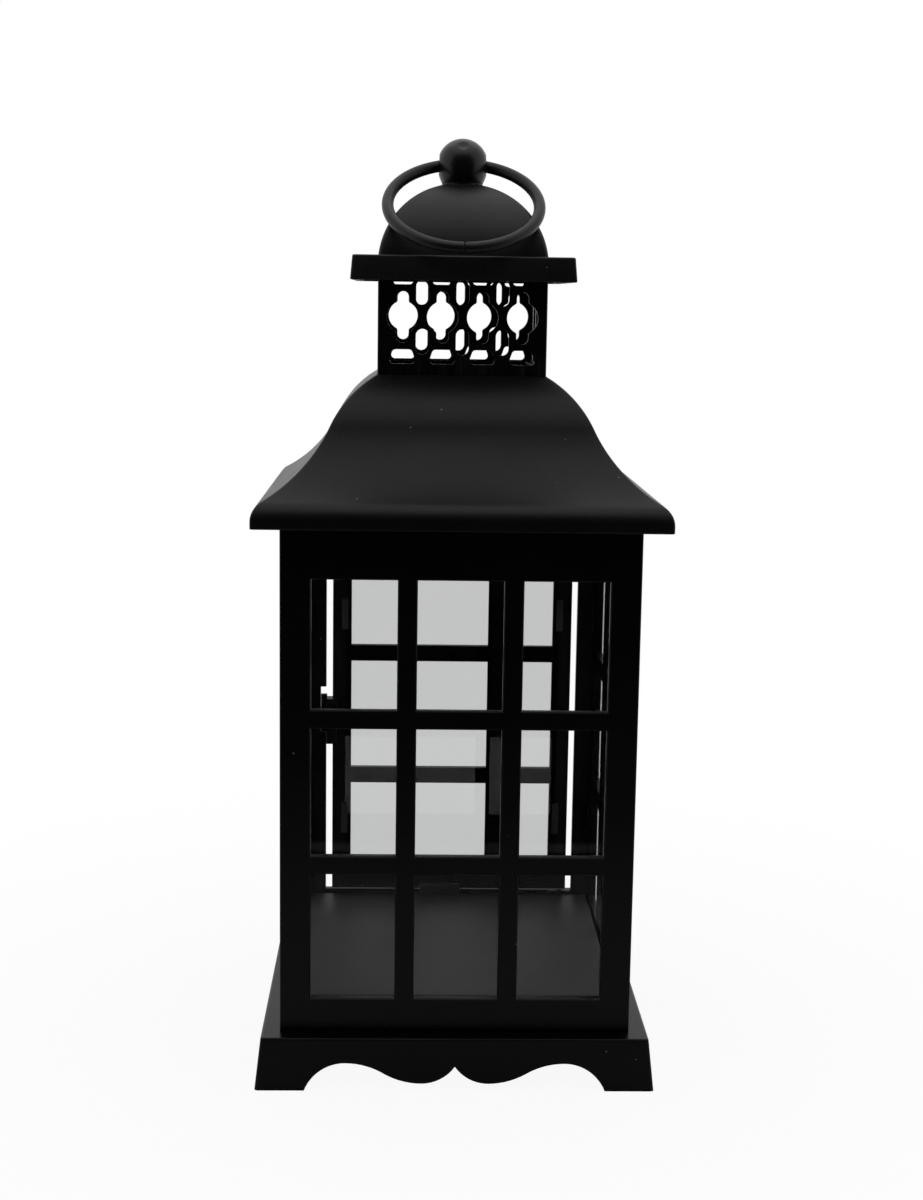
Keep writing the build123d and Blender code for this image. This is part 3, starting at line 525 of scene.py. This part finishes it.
def moulded_plastic(name, colour, rough, grain, specks, gloss, streaks=0.0):
    """Moulded plastic: a fine spark-eroded grain, cloudy gloss, specks of dust and rubbed edges.

    rough is the lowest and highest roughness, grain the depth of the texture, specks the share of
    cells that hold dust, gloss the strength of the shine, and streaks the depth of upright flow lines,
    which end in scratches at the chimney's foot, lightened there with a painted reflection of the roof.
    """
    finish = Finish(name)
    cloud = finish.noise(CLOUD_NOISE)
    fine = finish.noise(FINE_NOISE)
    broad = finish.noise(BROAD_NOISE)
    rounded = finish.add("ShaderNodeBevel", {"Radius": EDGE_ROUNDING}, samples=EDGE_SAMPLES).outputs[0]
    fine_part = finish.math("MULTIPLY", fine, FINE_SHARE)
    broad_part = finish.math("MULTIPLY", broad, BROAD_SHARE)
    grainy = finish.math("ADD", fine_part, broad_part)
    pale = [PALE_TIMES * part for part in colour[:3]] + [1]
    tone = finish.mixed(finish.span(cloud, *CLOUD_RANGE, 0, PALE_SHARE), colour, pale)
    if streaks:
        lines = finish.noise(FLOW_NOISE, FLOW_STRETCH)
        grainy = finish.math("ADD", grainy, finish.math("MULTIPLY", lines, streaks))
        # Painted reflection: at the chimney's foot the flow lines become scratches, lightened where the
        # lit roof mirrors in them.
        height = finish.add("ShaderNodeSeparateXYZ", {0: finish.place}).outputs["Z"]
        foot = finish.span(height, ROOF_TOP + SCRATCH_REFLECTION_TOP, ROOF_TOP + SCRATCH_REFLECTION_FULL, 0, 1)
        scratch_reflection = finish.math("MULTIPLY", foot, finish.span(lines, *SCRATCH_REFLECTION_RANGE, 0, 1))
        tone = finish.mixed(scratch_reflection, tone, SCRATCH_REFLECTION_COLOUR)
    bump = finish.add(
        "ShaderNodeBump",
        {"Height": grainy, "Strength": grain, "Distance": GRAIN_DEPTH, "Normal": rounded},
    )
    wear = finish.math("MULTIPLY", rubbed_edges(finish, rounded), WORN_SHARE)
    worn = finish.mixed(wear, tone, WORN_COLOUR)
    flecked = finish.mixed(dust(finish, specks), worn, DUST_COLOUR)
    unevenness = finish.math("ADD", cloud, finish.math("MULTIPLY", fine, FINE_IN_ROUGHNESS))
    shader = finish.add(
        "ShaderNodeBsdfPrincipled",
        {
            "Base Color": flecked,
            "Roughness": finish.span(unevenness, *ROUGHNESS_RANGE, *rough),
            "Specular IOR Level": gloss,
            "Normal": bump.outputs["Normal"],
        },
    )
    return finish.show(shader.outputs[0])


def clear_sheet(name, tint, haze, index):
    """Clear plastic sheet: smooth glass that lets the lamps through, with faint smears in its gloss.

    tint is its colour, haze the roughness of a smear, and index its refractive index. On the door
    sheet the tint is mostly painted shade: the shade of the backdrop seen through the sheet.
    """
    finish = Finish(name)
    rough = finish.span(finish.noise(SMEAR_NOISE, SMEAR_STRETCH), *SMEAR_RANGE, 0.0, haze)
    glass = finish.add(
        "ShaderNodeBsdfPrincipled",
        {"Base Color": tint, "Roughness": rough, "IOR": index, "Transmission Weight": 1.0},
    )
    through = finish.add("ShaderNodeBsdfTransparent", {"Color": tint})
    path = finish.add("ShaderNodeLightPath")
    lamp = finish.math("MAXIMUM", path.outputs["Is Shadow Ray"], path.outputs["Is Diffuse Ray"])
    pane = finish.add("ShaderNodeMixShader", {0: lamp, 1: glass.outputs[0], 2: through.outputs[0]})
    return finish.show(pane.outputs[0])


def plated_steel(name):
    """Zinc-plated steel with fine turning lines."""
    finish = Finish(name)
    lines = finish.noise(TURNING_NOISE, TURNING_STRETCH)
    stain = finish.noise(STAIN_NOISE)
    bump = finish.add(
        "ShaderNodeBump", {"Height": lines, "Strength": TURNING_DEPTH, "Distance": GRAIN_DEPTH}
    )
    shader = finish.add(
        "ShaderNodeBsdfPrincipled",
        {
            "Base Color": finish.mixed(stain, ZINC_DULL, ZINC_BRIGHT),
            "Roughness": finish.span(lines, *TURNING_RANGE, *ZINC_ROUGHNESS),
            "Metallic": 1.0,
            "Normal": bump.outputs["Normal"],
        },
    )
    return finish.show(shader.outputs[0])


cap_finish = moulded_plastic("black_cap_finish", BLACK, (0.42, 0.56), 0.5, 0.05, 0.3)
roof_finish = moulded_plastic("black_roof_finish", BLACK, (0.35, 0.47), 0.5, 0.05, 0.195)
body_finish = moulded_plastic("black_body_finish", BLACK, (0.26, 0.34), 0.3, 0.05, 0.12)
chimney_finish = moulded_plastic("black_chimney_finish", BLACK, (0.30, 0.44), 0.3, 0.04, 0.16, streaks=0.8)
# The frames' lighter black is painted light.
frame_painted_light_finish = moulded_plastic("black_frame_painted_light_finish", FRAME_BLACK_PAINTED_LIGHT, (0.40, 0.50), 0.03, 0.03, 0.13)
clip_finish = moulded_plastic("grey_clip_finish", CLIP_GREY, (0.40, 0.50), 0.03, 0.0, 0.2)
tray_finish = moulded_plastic("black_tray_finish", BLACK, (0.50, 0.58), 0.02, 0.02, 0.74)
ring_finish = moulded_plastic("black_ring_finish", RING_BLACK, (0.34, 0.44), 0.22, 0.03, 0.235)
knob_finish = moulded_plastic("black_knob_finish", RING_BLACK, (0.26, 0.33), 0.12, 0.04, 0.26)
window_finish = clear_sheet("clear_sheet_finish", WINDOW_TINT, 0.03, 1.16)
# The door sheet's darker tint is painted shade.
door_sheet_painted_shade_finish = clear_sheet("door_sheet_painted_shade_finish", DOOR_SHEET_PAINTED_SHADE_TINT, 0.06, 1.49)
steel_finish = plated_steel("plated_steel_finish")

FINISH_OF_SLOT = {
    "black_shell": body_finish,
    "black_ring": ring_finish,
    "clear_sheet": window_finish,
    "plated_steel": steel_finish,
}
FINISH_OF_NODE = {
    "back_frame": frame_painted_light_finish,
    "door_frame": frame_painted_light_finish,
    "door_catch": frame_painted_light_finish,
    "door_pane": door_sheet_painted_shade_finish,
    "door_pane_clips": clip_finish,
    "floor_tray": tray_finish,
    "knob": knob_finish,
    "chimney_front": chimney_finish,
    "chimney_back": chimney_finish,
    "chimney_left": chimney_finish,
    "chimney_right": chimney_finish,
}

for subpart in frame["record"]["subparts"]:
    node = subpart["node"]
    materials = nodes[node].data.materials
    materials.clear()
    materials.append(FINISH_OF_NODE.get(node, FINISH_OF_SLOT[subpart["material_slot"]]))
roof.data.materials.append(roof_finish)
cap.data.materials.append(cap_finish)


# Floor, lamps and background

TABLE_FRONT = 0.325  # edge of the floor in front of the lantern
TABLE_REACH = 0.60  # its other edges
TABLE_COLOUR = (0.8, 0.8, 0.8, 1)
SHADE_NEAR, SHADE_FAR = 0.09, 0.34  # way from the middle over which the floor turns white to the eye
SHADE_WHITE = 0.93  # share of white nearest to the lantern
OVERHEAD_PLACE, OVERHEAD_TARGET = (0.0, 0.10, 1.15), (0, 0, 0.2)
OVERHEAD_SIZE, OVERHEAD_POWER = (1.2, 1.2), 2.2
FRONT_PLACE, FRONT_TARGET = (0.0, -0.52, 1.05), (0, 0, 0.25)
FRONT_SIZE, FRONT_POWER = (0.7, 0.4), 0.6
TENT_LEVEL = 0.6
ROOM_LEVEL = 0.01
OPENING_DROP = np.radians(4)
OPENING_WAY = (0, -np.cos(OPENING_DROP), -np.sin(OPENING_DROP))  # middle of the tent's opening
OPENING_RIM = np.cos(np.radians(64))  # where the opening starts
OPENING_CORE = np.cos(np.radians(50))  # where it is dim


def pale_floor():
    """A pale table top, white to the eye further away, with a soft shadow near the lantern."""
    corners = [
        (-TABLE_REACH, -TABLE_FRONT, 0),
        (TABLE_REACH, -TABLE_FRONT, 0),
        (TABLE_REACH, TABLE_REACH, 0),
        (-TABLE_REACH, TABLE_REACH, 0),
    ]
    mesh = bpy.data.meshes.new("floor")
    mesh.from_pydata(corners, [], [(0, 1, 2, 3)])
    floor = bpy.data.objects.new("floor", mesh)
    bpy.context.scene.collection.objects.link(floor)
    finish = Finish("floor_finish")
    diffuse = finish.add("ShaderNodeBsdfDiffuse", {"Color": TABLE_COLOUR})
    white = finish.add("ShaderNodeEmission", {"Color": WHITE, "Strength": 1.0})
    away = finish.add("ShaderNodeVectorMath", {0: finish.place}, operation="LENGTH").outputs["Value"]
    whiteness = finish.span(away, SHADE_NEAR, SHADE_FAR, SHADE_WHITE, 1.0)
    share = finish.math("MULTIPLY", finish.seen_directly(), whiteness)
    mix = finish.add("ShaderNodeMixShader", {0: share, 1: diffuse.outputs[0], 2: white.outputs[0]})
    mesh.materials.append(finish.show(mix.outputs[0]))


def area_lamp(name, place, target, size, power):
    """A soft box at place, facing target."""
    light = bpy.data.lights.new(name, "AREA")
    light.shape = "RECTANGLE"
    light.size, light.size_y = size
    light.energy = power
    lamp = bpy.data.objects.new(name, light)
    lamp.location = place
    lamp.rotation_euler = (Vector(target) - Vector(place)).to_track_quat("-Z", "Y").to_euler()
    bpy.context.scene.collection.objects.link(lamp)


def studio_world():
    """A white light tent, open at the front.

    The tent behind, beside and above the lantern lights it softly and is white in its reflections;
    within a cone round the opening the room is dim. To the eye, also through the sheets, all is white.
    """
    world = bpy.data.worlds.new("studio")
    bpy.context.scene.world = world
    world.use_nodes = True
    tree = world.node_tree
    tree.nodes.clear()

    def add(kind, *inputs, **settings):
        """A new node with its inputs in order, each linked or set."""
        made = tree.nodes.new(kind)
        for key, value in settings.items():
            setattr(made, key, value)
        for socket, value in zip(made.inputs, inputs):
            if isinstance(value, bpy.types.NodeSocket):
                tree.links.new(value, socket)
            else:
                socket.default_value = value
        return made.outputs

    path = add("ShaderNodeLightPath")
    way = add("ShaderNodeTexCoord")["Generated"]
    near = add("ShaderNodeVectorMath", way, OPENING_WAY, operation="DOT_PRODUCT")["Value"]
    direct = add("ShaderNodeMath", path["Glossy Depth"], NO_BOUNCE, operation="LESS_THAN")[0]
    through = add("ShaderNodeMath", path["Is Transmission Ray"], direct, operation="MULTIPLY")[0]
    eye = add("ShaderNodeMath", path["Is Camera Ray"], through, operation="MAXIMUM")[0]
    wall = add("ShaderNodeMapRange", path["Is Glossy Ray"], 0.0, 1.0, TENT_LEVEL, 1.0)[0]
    level = add("ShaderNodeMapRange", near, OPENING_RIM, OPENING_CORE, wall, ROOM_LEVEL)[0]
    tent = add("ShaderNodeBackground", WHITE, level)[0]
    white = add("ShaderNodeBackground", WHITE, 1.0)[0]
    add("ShaderNodeOutputWorld", add("ShaderNodeMixShader", eye, tent, white)[0])


pale_floor()
studio_world()
area_lamp("overhead_box", OVERHEAD_PLACE, OVERHEAD_TARGET, OVERHEAD_SIZE, OVERHEAD_POWER)
area_lamp("front_box", FRONT_PLACE, FRONT_TARGET, FRONT_SIZE, FRONT_POWER)


# Camera at the photograph's place

PHOTO_HEIGHT = 1200
FOCAL = 1853.5  # pixels
EYE = (-17.16 * MM, -642.48 * MM, 258.20 * MM)
YAW, PITCH, ROLL = 0.02953, 0.16187, 0.0150  # radians
SENSOR_HEIGHT = 36.0  # millimetres
NEAREST = 0.01


def photo_camera():
    """A level camera turned by YAW to the right, PITCH down and ROLL anticlockwise."""
    ahead = np.array([np.sin(YAW), np.cos(YAW), 0])
    right = np.array([np.cos(YAW), -np.sin(YAW), 0])
    up = np.array([0, 0, 1])
    sight = ahead * np.cos(PITCH) - up * np.sin(PITCH)
    top = up * np.cos(PITCH) + ahead * np.sin(PITCH)
    side = right * np.cos(ROLL) + top * np.sin(ROLL)
    top = top * np.cos(ROLL) - right * np.sin(ROLL)
    camera = bpy.data.cameras.new("photo_camera")
    camera.sensor_fit = "VERTICAL"
    camera.sensor_height = SENSOR_HEIGHT
    camera.lens = SENSOR_HEIGHT * FOCAL / PHOTO_HEIGHT
    camera.clip_start = NEAREST
    holder = bpy.data.objects.new("photo_camera", camera)
    turn = Matrix((side, top, -sight)).transposed().to_4x4()
    holder.matrix_world = Matrix.Translation(EYE) @ turn
    bpy.context.scene.collection.objects.link(holder)
    bpy.context.scene.camera = holder


photo_camera()
bpy.context.scene.view_settings.view_transform = "Standard"
